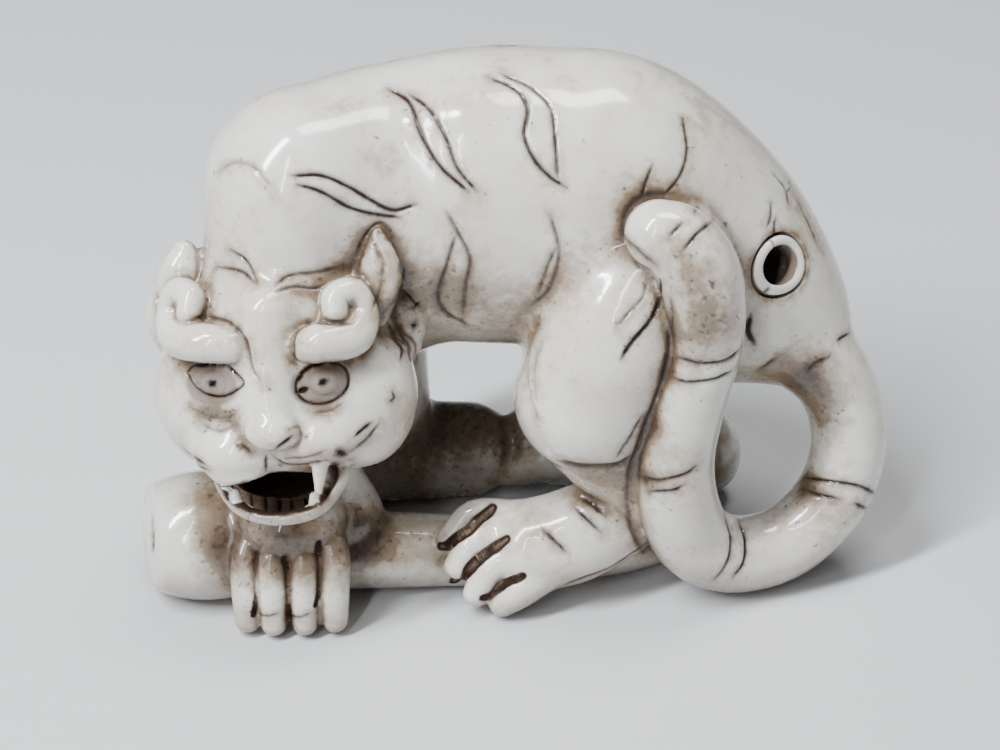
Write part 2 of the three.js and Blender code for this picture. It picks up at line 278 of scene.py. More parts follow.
slots = []  # the deep gaps between toes, added once their places on the surface are known
joins = {"bamboo": 0.35, "tail": 0.22, "head": 0.9, "ground": 0.5}  # mm, the fillets where these meet the rest


def skin(points):
    d = melt(carve(points, bodyForms), carve(points, bambooForms), joins["bamboo"])
    d = carve(points, pawForms, d)
    d = melt(d, carve(points, tailForms), joins["tail"])
    d = melt(d, headDistance(points), joins["head"])
    d = carve(toHead(points), earForms, d)  # the ears stand off the neck with a sharp crease
    d = carve(points, slots, d)
    return -melt(-d, points[:, 2], joins["ground"])


def skinNormal(points, here=None, step=0.03):
    here = skin(points) if here is None else here
    slope = np.stack([skin(points + step * np.eye(3)[a]) - here for a in range(3)], 1) / step
    size = np.linalg.norm(slope, axis=1, keepdims=True)
    return slope / np.maximum(size, 1e-6), np.maximum(size[:, 0], 0.3)


def settle(points, rounds):
    for _ in range(rounds):
        here = skin(points)
        normal, size = skinNormal(points, here)
        points = points - normal * np.clip(here / size, -0.6, 0.6)[:, None]
    return points


# ---------- the carved surface ----------


def meshObject(name, mesh):
    made = bpy.data.objects.new(name, mesh)
    bpy.context.collection.objects.link(made)
    return made


def getPoints(mesh):
    flat = np.empty(len(mesh.vertices) * 3)
    mesh.vertices.foreach_get("co", flat)
    return flat.reshape(-1, 3)


def setPoints(mesh, points):
    mesh.vertices.foreach_set("co", np.ascontiguousarray(points).ravel())
    mesh.update()


def applyModifiers(obj):
    baked = bpy.data.meshes.new_from_object(obj.evaluated_get(bpy.context.evaluated_depsgraph_get()))
    obj.modifiers.clear()
    obj.data = baked
    return obj


surface = {"grain": 0.46, "faceGrain": 0.2, "lineGrain": 0.1}  # mm, edge lengths
plug = {"radius": 2.6, "short": 0.9}  # fills the solids' cord hole, which is bored cleanly at the end


def roughCarving():
    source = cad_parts["tiger"].data.copy()
    carving = meshObject("carving", source)
    setPoints(source, getPoints(source) / mm - plan)
    shape = bmesh.new()
    shape.from_mesh(source)
    bmesh.ops.remove_doubles(shape, verts=shape.verts, dist=0.002)
    for start in ("near", "far"):
        a, b = Vector(cordHole[start]), Vector(cordHole["meet"])
        along = (b - a).normalized()
        turned = Vector((0, 0, 1)).rotation_difference(along).to_matrix().to_4x4()
        place = Matrix.Translation((a + along * plug["short"] + b) / 2) @ turned
        bmesh.ops.create_cone(
            shape, cap_ends=True, segments=24, radius1=plug["radius"], radius2=plug["radius"],
            depth=(b - a).length - plug["short"], matrix=place,
        )
    shape.to_mesh(source)
    shape.free()
    voxels = carving.modifiers.new("voxels", "REMESH")
    voxels.mode = "VOXEL"
    voxels.voxel_size = surface["grain"]
    return applyModifiers(carving)


carving = roughCarving()
print("rough carving", len(carving.data.vertices), "points")


def refine(obj, wanted):  # splits the edges whose two ends are wanted
    shape = bmesh.new()
    shape.from_mesh(obj.data)
    if any(len(f.verts) > 3 for f in shape.faces):
        bmesh.ops.triangulate(shape, faces=shape.faces)
    shape.verts.index_update()
    edges = [e for e in shape.edges if wanted[e.verts[0].index] and wanted[e.verts[1].index]]
    bmesh.ops.subdivide_edges(shape, edges=edges, cuts=1, use_grid_fill=True)
    bmesh.ops.triangulate(shape, faces=[f for f in shape.faces if len(f.verts) > 3])
    shape.to_mesh(obj.data)
    shape.free()


def relax(obj, wanted=None):  # evens out the triangles
    shape = bmesh.new()
    shape.from_mesh(obj.data)
    chosen = [v for v in shape.verts if wanted is None or wanted[v.index]]
    bmesh.ops.smooth_vert(shape, verts=chosen, factor=0.4, use_axis_x=True, use_axis_y=True, use_axis_z=True)
    shape.to_mesh(obj.data)
    shape.free()


setPoints(carving.data, settle(getPoints(carving.data), 4))
print("settled on the forms")

# ---------- engraving: strokes drawn on the side elevation, then cast on to the surface ----------

# the carver's line of sight to the near side
sight = {"tilt": 32, "distance": 170, "target": (-1.0, 0.0, 13.3)}
farShift = np.array([0, 2.4, 0])  # mirrors the line of sight about the back, not about zero
tilt = math.radians(sight["tilt"])
lookAlong = np.array([0, math.cos(tilt), -math.sin(tilt)])
lookUp = np.array([0, math.sin(tilt), math.cos(tilt)])
eye = np.array(sight["target"]) - lookAlong * sight["distance"]

# Each stroke: width, depth, darkness, then the points (along, up) in mm from the middle of the view.
stripes = [
    (0.26, 0.16, 1.0, [(-7.8, 19.9), (-6.3, 18.9), (-5.4, 16.5), (-4.1, 14.4), (-2.2, 12.7)]),
    (0.24, 0.14, 0.9, [(-6.3, 19.5), (-4.9, 18.4), (-3.7, 16.3), (-3.0, 14.4), (-1.6, 12.7)]),
    (0.26, 0.16, 1.0, [
        (-0.8, 20.7), (1.1, 19.8), (1.9, 18.5), (1.7, 16.6), (2.4, 14.9), (3.5, 13.7), (4.6, 13.0),
    ]),
    (0.24, 0.14, 0.9, [(0.1, 20.9), (2.2, 19.9), (3.5, 18.5), (3.8, 16.5), (4.0, 13.6)]),
    (0.28, 0.18, 1.0, [(-14.4, 13.8), (-12.3, 13.8), (-10.4, 13.0), (-8.9, 12.1), (-7.4, 11.4), (-5.8, 11.8)]),
    (0.26, 0.15, 1.0, [(-14.1, 13.2), (-12.4, 12.7), (-10.4, 11.6), (-8.5, 11.1), (-6.9, 10.9)]),
    (0.2, 0.1, 0.35, [(-19.6, 14.1), (-18.4, 14.7), (-17.0, 14.3), (-15.8, 12.8)]),
    (0.24, 0.13, 0.8, [(-3.7, 11.3), (-3.1, 10.2), (-2.1, 8.1), (-2.4, 6.1), (-2.6, 4.2)]),
    (0.24, 0.13, 0.8, [(-3.1, 9.6), (-3.7, 7.6), (-4.3, 5.7), (-3.9, 4.4), (-2.2, 3.4)]),
    (0.22, 0.12, 0.7, [(3.5, 11.1), (4.0, 9.2), (4.0, 7.6), (3.3, 5.8), (2.2, 4.8)]),
    (0.22, 0.12, 0.7, [(3.9, 8.9), (3.2, 7.2), (2.7, 5.7)]),
    (0.24, 0.13, 0.8, [(10.0, 12.1), (10.0, 12.9), (10.6, 14.6)]),
    (0.24, 0.13, 0.8, [(11.3, 12.3), (12.5, 13.8), (13.0, 15.6), (12.7, 17.8)]),
    (0.2, 0.1, 0.7, [(18.8, 12.0), (18.8, 11.0), (18.5, 10.2)]),
    (0.2, 0.1, 0.7, [(19.1, 10.9), (19.0, 9.5)]),
    (0.2, 0.1, 0.6, [(19.0, 13.9), (19.8, 12.9), (20.0, 11.8)]),
    (0.2, 0.1, 0.6, [(20.2, 13.0), (19.8, 12.6)]),
    (0.2, 0.1, 0.6, [(20.7, 11.9), (21.5, 10.3), (22.0, 9.0)]),
    (0.34, 0.2, 1.3, [(17.4, 4.2), (17.2, 3.0), (17.7, 2.1)]),
    (0.3, 0.2, 1.2, [(11.1, 6.6), (11.0, 5.0), (10.3, 3.6), (9.1, 2.2), (8.4, 1.1)]),
    (0.2, 0.1, 0.6, [(10.1, 6.6), (9.9, 5.4), (9.0, 4.4), (8.1, 3.3)]),
    (0.24, 0.12, 0.8, [(9.8, -2.9), (9.1, -4.2), (8.1, -5.7)]),
    (0.13, 0.04, 0.3, [(2.7, 3.7), (2.0, 1.6), (2.0, -0.9), (2.7, -3.2)]),
    (0.13, 0.04, 0.22, [(2.9, 2.2), (2.4, 0.4), (2.5, -1.6)]),
]
tailRings = [
    (0.22, 0.13, 0.9, [(12.7, 10.6), (11.7, 9.6)]),
    (0.24, 0.14, 0.9, [(14.8, 10.7), (13.7, 9.8), (12.6, 8.5)]),
    (0.2, 0.1, 0.6, [(13.8, 11.6), (13.4, 11.2)]),
    (0.24, 0.14, 1.0, [(12.3, 1.2), (13.9, 0.8), (15.6, 1.0), (16.7, 1.8)]),
    (0.24, 0.14, 1.0, [(12.0, -0.2), (13.0, -0.5), (14.8, -0.3), (16.1, 0.3)]),
    (0.24, 0.14, 1.0, [(9.6, -7.0), (11.0, -7.3), (12.8, -6.9), (13.6, -6.3)]),
    (0.24, 0.14, 1.0, [(10.3, -8.1), (12.0, -8.0), (12.8, -7.6)]),
    (0.26, 0.14, 0.8, [(15.5, -9.6), (16.0, -11.2), (15.9, -12.6), (15.4, -13.6), (14.8, -14.2)]),
    (0.24, 0.14, 1.0, [(16.5, -10.0), (17.0, -11.4), (16.9, -13.0), (16.1, -14.1)]),
    (0.24, 0.14, 1.0, [(21.1, -7.1), (23.1, -7.4), (24.9, -7.7), (26.2, -8.3)]),
    (0.24, 0.14, 1.0, [(21.1, -7.9), (22.1, -8.3), (23.5, -8.6)]),
    (0.24, 0.14, 1.0, [(24.6, -8.9), (25.5, -9.3)]),
    (0.24, 0.14, 1.0, [(21.2, 0.1), (21.8, 0.8), (22.7, 1.2)]),
    (0.24, 0.14, 0.9, [(23.4, 2.4), (24.2, 2.9)]),
    (0.24, 0.12, 0.8, [(18.0, 0.3), (19.2, 1.2)]),
]
pawCuts = [
    (0.24, 0.12, 0.9, [(5.7, -8.3), (7.3, -9.8)]),
    (0.24, 0.12, 0.9, [(5.1, -9.1), (7.0, -10.9)]),
    (0.24, 0.12, 0.9, [(3.0, -10.7), (4.6, -12.3)]),
    (0.34, 0.14, 0.8, [(4.4, -14.6), (6.0, -14.0), (7.6, -13.4), (9.3, -12.3), (10.3, -11.6)]),
    (0.2, 0.1, 0.8, [(-17.2, -16.4), (-16.1, -16.7), (-15.2, -16.4)]),
    (0.2, 0.1, 0.8, [(-14.9, -16.5), (-13.9, -16.8), (-13.0, -16.4)]),
]
faceCuts = [
    (0.22, 0.12, 0.8, [(-19.7, 7.5), (-18.0, 7.2), (-16.9, 6.3)]),
    (0.22, 0.12, 0.8, [(-18.7, 8.7), (-17.5, 7.8), (-16.8, 6.3)]),
    (0.24, 0.12, 0.7, [(-15.6, 6.2), (-14.5, 6.9), (-12.6, 7.1), (-11.2, 7.4)]),
    (0.22, 0.12, 0.7, [(-15.5, 5.8), (-14.3, 6.1), (-12.8, 6.0), (-12.1, 6.3)]),
    (0.24, 0.14, 0.7, [
        (-21.2, 4.0), (-19.6, 3.9), (-18.6, 3.5), (-17.7, 2.5), (-17.4, 1.5), (-17.2, 0.5), (-16.7, -0.4),
    ]),
    (0.24, 0.14, 0.8, [(-10.2, 3.6), (-13.2, 3.6), (-14.1, 3.1), (-14.3, 2.0), (-14.2, 0.7)]),
    (0.24, 0.14, 0.8, [(-15.7, -5.7), (-14.8, -6.2), (-13.4, -6.2), (-12.0, -5.9)]),
    (0.2, 0.1, 0.7, [(-14.9, -5.8), (-13.3, -5.7), (-12.0, -5.2)]),
    (0.26, 0.2, 1.1, [(-15.6, -5.2), (-14.8, -4.6), (-14.4, -4.2)]),
    (0.22, 0.15, 0.9, [(-17.9, -4.8), (-17.2, -5.4)]),
    (0.2, 0.1, 0.5, [(-14.6, -3.8), (-13.9, -3.6), (-13.8, -4.5), (-14.8, -5.4)]),
    (0.22, 0.14, 0.9, [(-16.2, -5.6), (-16.2, -6.7)]),
    (0.2, 0.1, 0.8, [(-7.2, 2.6), (-6.4, 2.0), (-6.2, 0.8)]),
    (0.2, 0.1, 0.8, [(-6.8, 2.9), (-5.9, 2.2), (-5.8, 1.1)]),
    (0.16, 0.08, 0.45, [(-21.4, -2.2), (-20.4, -2.8), (-19.2, -3.0), (-18.2, -2.6)]),
    (0.16, 0.08, 0.4, [(-20.8, -3.4), (-19.4, -3.9), (-18.4, -3.5)]),
    (0.16, 0.08, 0.4, [(-12.9, -2.6), (-11.8, -2.5), (-10.8, -1.9)]),
    (0.22, 0.14, 1.0, [(-21.9, -5.1), (-21.2, -5.7), (-20.3, -6.3)]),
    (0.2, 0.12, 1.0, [(-21.6, -5.7), (-20.9, -6.3), (-20.1, -6.6)]),
    (0.4, 0.2, 1.4, [(-11.3, -5.3), (-10.7, -5.6)]),
    (0.24, 0.14, 1.0, [(-10.1, -4.3), (-9.4, -3.7), (-8.9, -3.3)]),
    (0.22, 0.12, 1.0, [(-6.8, 6.0), (-5.8, 4.9), (-6.4, 4.6)]),
    (0.4, 0.2, 1.4, [(-5.9, 3.6), (-6.0, 3.3)]),
    (0.35, 0.2, 1.4, [(-5.8, 5.0), (-5.6, 4.8)]),
    (0.22, 0.12, 1.0, [(-7.4, 2.6), (-6.8, 1.8), (-6.9, 1.0)]),
    (0.2, 0.12, 0.9, [(-7.5, -1.1), (-7.3, -1.6), (-7.7, -1.9)]),
    (0.22, 0.12, 0.8, [(-8.4, -3.4), (-9.2, -4.4), (-10.2, -5.2)]),
    (0.22, 0.12, 0.4, [(-10.15, 6.7), (-9.8, 8.5), (-9.1, 9.9), (-8.25, 10.5), (-7.3, 9.6)]),
    (0.2, 0.1, 0.5, [(-6.7, 7.4), (-7.1, 5.6), (-8.2, 4.2)]),
    (0.45, 0.25, 1.5, [(-11.5, -6.1), (-11.6, -7.2), (-12.1, -8.3)]),
    (0.2, 0.26, 1.4, [(-17.3, -7.9), (-17.2, -9.3)]),
    (0.16, 0.24, 1.4, [(-16.3, -8.0), (-16.2, -9.5)]),
    (0.28, 0.26, 1.4, [(-15.3, -8.2), (-15.25, -9.5)]),
    (0.16, 0.24, 1.4, [(-14.5, -8.0), (-14.4, -9.4)]),
    (0.22, 0.24, 1.4, [(-13.5, -8.1), (-13.4, -9.1)]),
    (0.3, 0.3, 1.4, [(-15.9, -8.0), (-15.5, -8.2), (-15.0, -8.1)]),
    (0.2, 0.1, 0.5, [(-8.9, 9.4), (-8.2, 7.8), (-8.3, 6.0), (-8.9, 4.4)]),
]
patches = [  # reach, strength, then the place: brown left by handling and age; those at (5.6, -7.0), (7.8, -7.1) and (3.9, -7.9) also paint the shade under the near thigh
    (2.2, 1.25, (14.2, 3.8)), (1.8, 0.85, (13.2, 6.9)), (2.2, 1.1, (20.1, 0.2)), (1.8, 1.2, (22.4, -3.1)),
    (1.5, 1.0, (21.2, -8.0)), (1.6, 1.1, (21.6, -0.9)), (1.8, 0.5, (13.6, 1.6)), (1.5, 0.95, (5.6, -7.0)),
    (1.4, 0.9, (7.8, -7.1)), (1.0, 0.7, (3.9, -7.9)), (1.3, 0.6, (11.0, -12.6)), (1.4, 0.6, (9.2, 12.4)),
    (1.3, 0.7, (8.2, 8.6)), (1.8, 0.6, (5.9, 8.0)), (1.5, 0.5, (3.3, 5.9)), (1.3, 0.9, (-9.5, 9.5)),
    (0.9, 0.7, (-10.3, 8.0)), (2.6, 1.0, (-4.2, 5.9)), (2.4, 1.0, (0.0, 4.5)), (1.3, 0.5, (-10.7, 18.4)),
    (1.6, 0.4, (13.9, 19.0)), (1.3, 0.6, (-20.8, -8.7)), (1.6, 0.8, (-19.2, -12.4)),
    (1.7, 0.75, (-14.6, -11.9)), (1.8, 0.8, (-8.7, -11.1)), (1.4, 0.6, (-4.9, -10.4)), (0.9, 1.1, (11.6, 0.4)),
    (0.9, 1.1, (10.8, -3.6)), (0.9, 1.0, (10.1, -7.0)), (0.9, 1.0, (12.0, 3.1)), (1.5, 0.7, (4.9, -6.2)),
    (1.5, 0.4, (6.9, -8.7)), (1.2, 0.5, (-1.4, -10.0)), (1.0, 0.6, (-19.7, -2.4)), (0.9, 0.5, (-18.3, -3.1)),
    (0.8, 0.5, (-16.3, -0.7)), (0.8, 0.45, (-18.0, -4.5)), (0.9, 0.55, (-12.5, -2.1)), (1.0, 0.5, (-13.9, 5.9)),
    (1.0, 0.5, (-20.4, 6.9)), (1.1, 0.5, (-6.6, 3.1)), (0.8, 0.9, (-10.9, -5.5)), (0.8, 0.6, (-20.8, -6.0)),
    (2.4, 0.5, (24.0, -9.6)), (2.0, 0.4, (18.6, -9.5)), (1.8, 0.35, (-7.5, 15.0)),
]
gaps = [  # half width, then the points
    (0.44, [(-0.5, -9.2), (-1.7, -10.6), (-3.1, -11.6), (-4.1, -11.9)]),
    (0.42, [(0.5, -11.4), (-1.0, -12.7), (-2.5, -13.8), (-3.2, -14.3)]),
    (0.34, [(1.6, -13.9), (0.2, -14.8), (-1.2, -15.4)]),
    (0.2, [(-16.9, -12.4), (-17.05, -14.9), (-17.1, -16.6)]),
    (0.22, [(-15.0, -12.7), (-14.8, -14.9), (-14.6, -16.8)]),
    (0.22, [(-12.6, -11.6), (-12.7, -13.9), (-12.8, -15.9)]),
]
grooves = [  # broad soft creases that hold brown
    # under the near thigh: brown, with painted shade of its overhang
    (1.1, 0.2, 0.32, [(4.1, -6.0), (5.4, -6.35), (6.9, -6.4), (8.3, -6.2), (9.1, -5.6)]),
    (0.36, 0.1, 0.6, [
        (11.8, 5.2), (11.9, 3.8), (11.5, 0.5), (10.7, -1.9), (9.8, -4.2), (9.0, -6.6), (8.8, -8.9),
        (9.2, -10.8), (10.0, -12.3),
    ]),
    (0.36, 0.08, 0.7, [(10.8, 7.6), (9.6, 8.6), (8.6, 9.7), (8.8, 11.2), (10.0, 12.4), (12.1, 12.6)]),
    (0.4, 0.05, 0.25, [(12.1, 12.6), (14.3, 11.8), (15.9, 9.9), (16.9, 7.0)]),
]
eyeRims = [
    (0.17, 0.14, 1.0, [
        (-14.1, -1.2), (-14.0, -0.3), (-13.0, 0.6), (-12.0, 0.9), (-11.0, 0.7), (-10.5, 0.0), (-10.6, -0.9),
        (-11.4, -1.7), (-12.5, -2.0), (-13.5, -1.8), (-14.1, -1.2),
    ]),
    (0.17, 0.14, 1.0, [
        (-21.7, 0.2), (-21.2, 0.7), (-20.1, 0.8), (-18.9, 0.6), (-18.1, -0.1), (-17.8, -0.6), (-18.5, -1.2),
        (-19.4, -1.5), (-20.4, -1.3), (-21.2, -0.7), (-21.7, 0.2),
    ]),
    (0.34, 0.2, 1.4, [(-13.95, -1.15), (-13.35, -0.95)]),
    (0.26, 0.16, 1.3, [(-14.05, -0.6), (-13.6, 0.2), (-12.9, 0.65), (-12.0, 0.9)]),
    (0.24, 0.14, 1.1, [(-21.2, 0.65), (-20.1, 0.75), (-18.9, 0.55), (-18.0, -0.2)]),
]
# the hidden flank has fewer stripes
farSide = [s for i, s in enumerate(stripes) if i in (0, 1, 2, 3, 7, 8, 9, 10)]


def castStrokes(strokes, tree, mirrored=False):
    flip = np.array([1, -1, 1]) if mirrored else np.ones(3)
    shift = farShift if mirrored else 0
    start = eye * flip + shift
    found = []
    for width, depth, dark, line in strokes:
        path = smoothPath([(x, y, 0, 0) for x, y in line], 24)[:, :2]
        pieces = np.linalg.norm(np.diff(path, axis=0), axis=1)
        length, lengths = pieces.sum(), np.append(0, np.cumsum(pieces))
        count = max(int(length / 0.08), 3)
        closed = line[0] == line[-1]
        for along in np.linspace(0, length, count):
            x, up = np.interp(along, lengths, path[:, 0]), np.interp(along, lengths, path[:, 1])
            aim = (np.array(sight["target"]) + lookUp * up + np.array([x, 0, 0])) * flip + shift
            hit = tree.ray_cast(Vector(start), Vector(aim - start).normalized())
            if hit[0] is None:
                continue
            taper = 1 if closed else min(1, 0.25 + 1.6 * min(along, length - along) / min(length * 0.5, 1.2))
            found.append((hit[0], width * (0.55 + 0.45 * taper), depth * taper, dark * (0.4 + 0.6 * taper)))
    return found


def strokeFields(points, strokes, radius=1.2):
    tree = KDTree(len(strokes))
    for i, stroke in enumerate(strokes):
        tree.insert(stroke[0], i)
    tree.balance()
    reach = np.full(len(points), far)
    depth, dark = np.zeros(len(points)), np.zeros(len(points))
    for i, point in enumerate(points):
        _, j, gap = tree.find(point)
        reach[i] = gap
        if gap < radius:
            width = strokes[j][1]
            groove = math.exp(-((gap / (0.5 * width)) ** 2) * 0.9)
            depth[i] = strokes[j][2] * groove
            dark[i] = strokes[j][3] * math.exp(-((gap / (0.62 * width)) ** 2))
    return reach, depth, dark


def surfaceTree(obj):
    return BVHTree.FromPolygons(
        [Vector(p) for p in getPoints(obj.data)],
        [tuple(f.vertices) for f in obj.data.polygons],
    )


tree = surfaceTree(carving)
slotForms = []
for half, line in gaps:
    hits = [h[0] for h in castStrokes([(1, 1, 1, line)], tree)]
    chosen = [hits[round(i * (len(hits) - 1) / 4)] for i in range(5)]
    sunk = [h + Vector(lookAlong) * (0.1 if i in (0, 4) else 0.4) for i, h in enumerate(chosen)]
    slotForms.append(
        limb(
            [tuple(h) + (half * (0.5 if i in (0, 4) else 1),) for i, h in enumerate(sunk)],
            soft=0.25,
            steps=6,
            cut=True,
        )
    )
drawn = stripes + tailRings + pawCuts + faceCuts + grooves + eyeRims
strokes = castStrokes(drawn, tree) + castStrokes(farSide, tree, mirrored=True)
print("strokes", len(strokes), "samples")

for grain, reachWanted in ((surface["faceGrain"], 0.6), (surface["lineGrain"], 0.3)):
    points = getPoints(carving.data)
    reach, _, _ = strokeFields(points, strokes)
    wanted = reach < reachWanted
    for form in slotForms + teeth:
        at = toHead(points) if form in teeth else points
        wanted |= np.abs(form["distance"](at)) < (3 if form in slotForms else 2.2) * grain
    if grain == surface["faceGrain"]:
        wanted |= inBox(toHead(points), (0, -5.5, 0.5), (8.5, 4.5, 9.5))  # the face
        wanted |= inBox(points, (-15.2, -10.5, 4.5), (4.6, 3.6, 4.6))  # the near forepaw
        wanted |= inBox(points, (-2.0, -8.0, 3.5), (4.0, 4.0, 4.2))  # the near hind foot
    refine(carving, wanted)
    for _ in range(2):
        setPoints(carving.data, settle(getPoints(carving.data), 2))
        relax(carving)
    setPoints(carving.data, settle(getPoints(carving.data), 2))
    print("refined to", grain, "mm:", len(carving.data.polygons), "faces")
slots += slotForms
for _ in range(3):
    setPoints(carving.data, settle(getPoints(carving.data), 2))
    relax(carving)
setPoints(carving.data, settle(getPoints(carving.data), 2))
inSlots = np.min([np.abs(form["distance"](getPoints(carving.data))) for form in slots], axis=0) < 0.09
for _ in range(8):  # smooths the slots' walls
    relax(carving, inSlots)

points = getPoints(carving.data)
normal, _ = skinNormal(points)
reach, depth, dark = strokeFields(points, strokes)
setPoints(carving.data, points - normal * depth[:, None])
print("strokes cut")


# ---------- colour and stain carried by the surface ----------

points = getPoints(carving.data)
cavity = np.zeros(len(points))
for step, weight in ((0.5, 0.3), (1.1, 0.4), (2.4, 0.3)):
    cavity += weight * np.clip(1 - skin(points + normal * step) / step, 0, 1)
local = toHead(points)

# Where handling and age have left brown, with a few places of painted shade: place, reach and strength.
stainsAndShade = [
    ((-15.5, -9.8, 7.0), (4.2, 2.6, 2.1), 1.8),  # the near paw's wrist
    ((-11.0, -8.0, 5.2), (2.0, 3.0, 2.6), 1.5),  # bamboo beside the paw
    ((-8.4, -7.6, 4.0), (2.4, 2.0, 1.6), 0.5),
    ((-15.2, -11.6, 4.8), (3.8, 1.6, 1.2), 0.6),  # the upper joints of the near paw
    ((-20.0, -9.0, 6.2), (1.9, 3.0, 2.6), 0.85),  # the drum end's right side
    ((9.4, -9.0, 12.5), (1.7, 3.0, 4.6), 0.7),  # groove between knee and tail
    ((14.6, -4.0, 9.6), (2.6, 5.0, 4.2), 0.45),  # inside the tail's loop
    ((-4.0, -3.0, 15.8), (6.0, 5.0, 2.6), 0.9),  # under the belly: brown from handling, with painted shade
    ((0.5, -9.5, 6.4), (3.4, 2.0, 1.3), 0.4),  # over the toes
    ((-6.0, 4.5, 5.5), (8.5, 3.8, 3.6), 1.5),  # the far limbs under the arch: dirt, with painted shade
    ((16.2, -3.6, 22.6), (3.6, 3.0, 2.8), 0.3),  # round the inlaid ring
    ((6.0, 9.0, 12.0), (5.0, 3.0, 7.0), 0.35),
    ((13.4, 4.6, 4.4), (3.0, 3.0, 3.0), 0.8),
]
headStains = [
    ((-6.4, -3.4, 4.6), (1.8, 1.6, 2.0), 0.6),  # ear bases
    ((7.2, -3.2, 5.2), (1.8, 1.6, 2.0), 0.6),
    ((-3.6, -5.8, -0.3), (1.9, 1.3, 0.9), 1.0),  # under the eyes
    ((3.6, -5.8, -0.2), (1.9, 1.2, 0.8), 0.55),
    ((0, -7.2, -7.2), (4.4, 1.4, 1.0), 0.5),  # the lower jaw
]


def blobs(places, at):
    total = np.zeros(len(at))
    for centre, spread, strength in places:
        total += strength * np.exp(-(((at - np.array(centre)) / np.array(spread)) ** 2).sum(1))
    return total


stainAndShade = blobs(stainsAndShade, points) + blobs(headStains, local)
for spread, strength, spot in patches:
    for hit in castStrokes([(1, 1, 1, [spot, (spot[0] + 0.05, spot[1])])], tree)[:1]:
        stainAndShade += strength * np.exp(-(((points - np.array(hit[0])) / spread) ** 2).sum(1))
ringMiddle, ringAxis = np.array(cordHole["near"]), np.array(cordHole["near"]) - np.array(cordHole["meet"])
ringAxis /= np.linalg.norm(ringAxis)
fromRing = points - ringMiddle
ringGap = np.linalg.norm(fromRing - np.outer(fromRing @ ringAxis, ringAxis), axis=1)
stainAndShade += 0.8 * np.exp(-(((ringGap - 2.15) / 0.4) ** 2)) * (np.abs(fromRing @ ringAxis) < 2.5)
low = np.clip((3.2 - points[:, 2]) / 3.2, 0, 1) * 0.3  # a little more towards the plane it stands on
pupils = castStrokes([
    (0.5, 0, 1, [(-12.3, -0.5), (-12.2, -0.5)]), (0.5, 0, 1, [(-20.0, -0.6), (-19.9, -0.6)]),
], tree)
pupilGap = np.full(len(points), far)
for spot in pupils:
    pupilGap = np.minimum(pupilGap, np.linalg.norm(points - np.array(spot[0]), axis=1))
iris = np.exp(-(((pupilGap - 0.85) / 0.1) ** 2)) * 0.2
pupil = np.clip((0.34 - pupilGap) / 0.1, 0, 1)
halo = 0.55 * np.exp(-((reach / 0.55) ** 2))
mouthK = np.sqrt((((local - mouthCut["at"]) / mouthCut["radii"]) ** 2).sum(1))
mouthWide = np.sqrt((((local - mouthCut["at"]) / (3.6, 3.9, 2.1)) ** 2).sum(1))
offJaw = jawRim["distance"](local) > 0.06
mouth = np.maximum(
    np.clip((1.12 - mouthK) / 0.1, 0, 1),
    (mouthWide < 1.05) * offJaw * (local[:, 1] > -7.0) * (local[:, 2] < -5.2),
)
toothed = carve(local, teeth)
tooth = np.clip((0.18 - toothed) / 0.1, 0, 1)
mouth = mouth * (1 - 0.95 * tooth)
stainAndShade = np.maximum(stainAndShade, 1.2 * mouth)
slotGap = np.min([np.abs(form["distance"](points)) for form in slots], axis=0)
inSlot = np.clip(1.4 - slotGap / 0.14, 0, 1)
stainAndShade = np.maximum(stainAndShade, 0.95 * inSlot)
pithK = np.sqrt((((points - pith["at"]) / pith["radii"]) ** 2).sum(1))
stainAndShade = np.maximum(stainAndShade, 1.1 * np.clip((1.15 - pithK) / 0.15, 0, 1))
eyesAt = np.minimum(*[
    np.linalg.norm((local - (side * eyes["apart"], -6.2, 1.5)) / eyes["lidded"], axis=1) for side in (-1, 1)
])
eyeball = np.clip((1.02 - eyesAt) / 0.12, 0, 1)
# near-black in the mouth and the toe slots: dirt held there, with painted shade of these recesses
deepDirtAndShade = np.maximum(0.92 * mouth, 0.93 * inSlot)
# near-black on the far limbs under the arch: dirt, with painted shade
deepDirtAndShade = np.maximum(deepDirtAndShade, 0.5 * np.exp(-(((points - (-5.0, 4.8, 5.0)) / (9.0, 3.4, 3.6)) ** 2).sum(1)))
probe = points + 4 * normal
openness = np.clip(np.minimum(skin(probe), probe[:, 2]) / 4, 0, 1)
# painted shade: darker on faces turned down and where the carving or the floor closes in, with some grime
shade = np.clip(0.6 * np.clip((0.3 - normal[:, 2]) / 1.3, 0, 1) + 0.5 * (1 - openness), 0, 1)
# painted shade under the jaw and the chin
onJaw = inBox(local, (0, -6.0, -6.6), (5.2, 3.4, 1.6))
shade = np.maximum(shade, onJaw * np.clip((-4.9 - local[:, 2]) / 1.2, 0, 1) * 0.85)
onTooth = 1 - 0.85 * tooth
cavity, shade = cavity * onTooth, shade * onTooth
stainAndShade = (stainAndShade + halo) * onTooth
looks = {
    "cavity": cavity, "line": np.clip(dark + iris, 0, 1.6), "stainAndShade": np.clip(stainAndShade + low, 0, 2), "pupil": pupil,
    "eyeball": eyeball, "deepDirtAndShade": deepDirtAndShade, "shade": shade,
}
lookup = KDTree(len(points))
for i, point in enumerate(getPoints(carving.data)):
    lookup.insert(point, i)
lookup.balance()


def paint(obj):
    nearest = [lookup.find(p)[1] for p in getPoints(obj.data)]
    for name, values in looks.items():
        layer = obj.data.attributes.get(name) or obj.data.attributes.new(name, "FLOAT", "POINT")
        layer.data.foreach_set("value", values[nearest].astype(np.float32))


# ---------- the cord hole ----------


